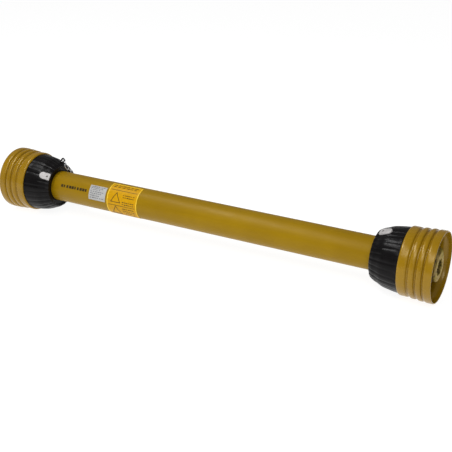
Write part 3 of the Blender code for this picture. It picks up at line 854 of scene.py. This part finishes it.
def across_axis(node):
    """Frame that carries +X of a turned piece onto the node's own long way out."""
    low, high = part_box(node)
    middle = (low + high) / 2
    end = -1 if "left" in node else 1
    from_joint = middle - Vector((end * CROSS_X, 0, 0))
    axis = max(range(3), key=lambda i: abs(from_joint[i]))
    out = Vector((0, 0, 0))
    out[axis] = math.copysign(1, from_joint[axis])
    turn = Vector((1, 0, 0)).rotation_difference(out).to_matrix().to_4x4()
    reach = abs(high[axis]) if from_joint[axis] > 0 else abs(low[axis])
    near = abs(low[axis]) if from_joint[axis] > 0 else abs(high[axis])
    return Matrix.Translation((end * CROSS_X, 0, 0)) @ turn, near, reach


def bearing_cup(node, materials):
    """Needle bearing's cup, dished on its outer face."""
    place, near, face = across_axis(node)
    radius = (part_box(node)[1].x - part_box(node)[0].x) / 2
    bore = TRUNNION_BORE_R
    corners = [
        (face, 0.0060, 0.0004),
        (face, radius, 0.0009),
        (near, radius, 0.0004),
        (near, bore, 0.0003),
        (CUP_FLOOR, bore, 0.0003),
        (CUP_FLOOR, 0.0, 0.0),
        (face - 0.0006, 0.0, 0.0),
        (face - 0.0006, 0.0050, 0.0003),
    ]
    outline = rounded(corners)
    piece = turned(node + "_turned", outline, materials["bearing_steel"], place, SMALL_ROUND)
    return stand_for(piece, node)


def lip_seal(node, materials):
    """Rubber seal with a groove round its middle."""
    place, near, far = across_axis(node)
    radius = (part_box(node)[1].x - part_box(node)[0].x) / 2
    bore = TRUNNION_BORE_R
    middle = (near + far) / 2
    corners = [
        (near, bore, 0.0002),
        (near, radius, 0.0004),
        (middle - 0.0004, radius, 0.0003),
        (middle, radius - 0.0006, 0.0003),
        (middle + 0.0004, radius, 0.0003),
        (far, radius, 0.0004),
        (far, bore, 0.0002),
    ]
    piece = turned(
        node + "_lipped", rounded(corners), materials["seal_rubber"], place, SMALL_ROUND
    )
    return stand_for(piece, node)


def push_pin(side, materials):
    """Pin across the hub: long shank, necked for the spring, and a hollow domed head.

    The head's skirt slides over the spring as the pin is pressed.
    """
    node = side + "_push_pin"
    low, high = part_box(node)
    middle = (low + high) / 2
    out = -1 if side == "left" else 1
    turn = Matrix.Rotation(out * math.pi / 2, 4, "Z")
    place = Matrix.Translation((middle.x, 0, middle.z)) @ turn
    tip = -min(abs(low.y), abs(high.y))
    head_end = max(abs(low.y), abs(high.y))
    head_radius = (high.x - low.x) / 2
    corners = solid_outline(
        [
            (tip, PIN_SHANK_R, 0.0008),
            (PIN_NECK_START, PIN_SHANK_R, 0.0003),
            (PIN_NECK_START, PIN_NECK_R, 0.0003),
            (PIN_HEAD_HOLLOW_END, PIN_NECK_R, 0.0003),
            (PIN_HEAD_HOLLOW_END, PIN_SKIRT_R, 0.0003),
            (PIN_HEAD_START, PIN_SKIRT_R, 0.0003),
            (PIN_HEAD_START, head_radius, 0.0004),
            (head_end - 0.0010, head_radius, 0.0030),
            (head_end, 0.0035, 0.0020),
        ]
    )
    piece = turned(node + "_turned", rounded(corners), materials["bearing_steel"], place, SMALL_ROUND)
    return stand_for(piece, node)


def coil_spring(side, materials):
    """Spring round the pin's neck, inside the skirt of its head."""
    node = side + "_pin_spring"
    low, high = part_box(node)
    middle = (low + high) / 2
    wire = 0.0005
    turns = 3
    steps = 40 * turns
    out = -1 if side == "left" else 1
    near, far = sorted((abs(low.y), abs(high.y)))
    points = []
    for step in range(steps + 1):
        angle = 2 * math.pi * turns * step / steps
        y = near + wire + (far - near - 2 * wire) * step / steps
        offset = Vector((math.cos(angle), 0, math.sin(angle))) * PIN_SPRING_R
        points.append(Vector((middle.x, out * y, middle.z)) + offset)
    return stand_for(tube_along(node + "_coil", points, wire, materials["spring_steel"]), node)


def joint(side, materials):
    """One end's yokes, bearings and push pin."""
    forging(side + "_yoke", materials["forged_steel"])
    forging(side + "_tube_yoke", materials["forged_steel"])
    for place in ("yoke", "tube"):
        for number in (1, 2):
            bearing_cup(f"{side}_cup_{place}_{number}", materials)
            lip_seal(f"{side}_seal_{place}_{number}", materials)
    push_pin(side, materials)
    coil_spring(side, materials)


def paint_remaining(materials):
    """CAD nodes that stay as they are get their slot's finish."""
    for node, obj in frame["nodes"].items():
        slot = SLOT_OF[node]
        material = materials["tube"] if slot == "guard_yellow" else materials[slot]
        obj.data.materials.clear()
        obj.data.materials.append(material)


# ---------------------------------------------------------------- studio


def make_camera():
    data = bpy.data.cameras.new("camera")
    data.lens = CAMERA_LENS
    data.clip_end = 50
    camera = bpy.data.objects.new("camera", data)
    camera.location = CAMERA_PLACE
    camera.rotation_euler = (math.pi / 2 + CAMERA_PITCH, 0, CAMERA_YAW)
    bpy.context.scene.collection.objects.link(camera)
    bpy.context.scene.camera = camera


def make_floor():
    """Pale floor that the shaft stands on, bright enough to read as white."""
    material, _, shader = new_material("studio_floor")
    shader.inputs["Base Color"].default_value = (0.22, 0.22, 0.22, 1)
    shader.inputs["Roughness"].default_value = 0.9
    shader.inputs["Emission Color"].default_value = (1, 1, 1, 1)
    shader.inputs["Emission Strength"].default_value = 0.91
    mesh = bpy.data.meshes.new("studio_floor")
    half = 12
    corners = [(-half, -half, 0), (half, -half, 0), (half, half, 0), (-half, half, 0)]
    mesh.from_pydata(corners, [], [(0, 1, 2, 3)])
    mesh.materials.append(material)
    floor = bpy.data.objects.new("studio_floor", mesh)
    floor.location.z = FLOOR_Z - 0.0002
    bpy.context.scene.collection.objects.link(floor)


def area_light(name, place, target, size, power):
    data = bpy.data.lights.new(name, "AREA")
    data.shape = "RECTANGLE"
    data.size, data.size_y = size
    data.energy = power
    light = bpy.data.objects.new(name, data)
    light.location = place
    towards = Vector(target) - Vector(place)
    light.rotation_euler = towards.to_track_quat("-Z", "Y").to_euler()
    bpy.context.scene.collection.objects.link(light)


def make_lights():
    """A long key above and behind the left, softer lights in front, and a dim white room."""
    area_light("key", (-0.75, -0.55, 1.90), (0.10, 0, 0), (1.5, 0.35), 23)
    area_light("front", (0.55, -1.35, 1.50), (0.20, 0, 0), (1.4, 0.7), 13)
    area_light("fill", (1.30, -2.30, 1.60), (0, 0, 0), (2.2, 2.2), 11)
    area_light("side", (-2.00, -1.60, 0.90), (0, 0, 0), (1.6, 1.2), 2)
    world = bpy.data.worlds.new("studio")
    world.use_nodes = True
    tree = world.node_tree
    dim = tree.nodes["Background"]
    dim.inputs["Color"].default_value = (1, 1, 1, 1)
    dim.inputs["Strength"].default_value = 0.24
    seen = tree.nodes.new("ShaderNodeBackground")  # behind the floor's far edge
    seen.inputs["Color"].default_value = (1, 1, 1, 1)
    path = tree.nodes.new("ShaderNodeLightPath")
    mix = tree.nodes.new("ShaderNodeMixShader")
    tree.links.new(path.outputs["Is Camera Ray"], mix.inputs["Fac"])
    tree.links.new(dim.outputs["Background"], mix.inputs[1])
    tree.links.new(seen.outputs["Background"], mix.inputs[2])
    tree.links.new(mix.outputs["Shader"], tree.nodes["World Output"].inputs["Surface"])
    bpy.context.scene.world = world
    bpy.context.scene.view_settings.view_transform = "Standard"


def main():
    make_camera()
    materials = make_materials()
    chain(materials)
    paint_remaining(materials)
    guard_tube("outer_tube_drawn", "outer_guard_tube", materials["tube"])
    guard_tube("inner_tube_drawn", "inner_guard_tube", materials["tube"])
    for side in ENDS:
        collar(side, materials)
        cone(side, materials)
        lock_tab(side, materials)
        joint(side, materials)
    labels(materials)
    make_floor()
    make_lights()


main()
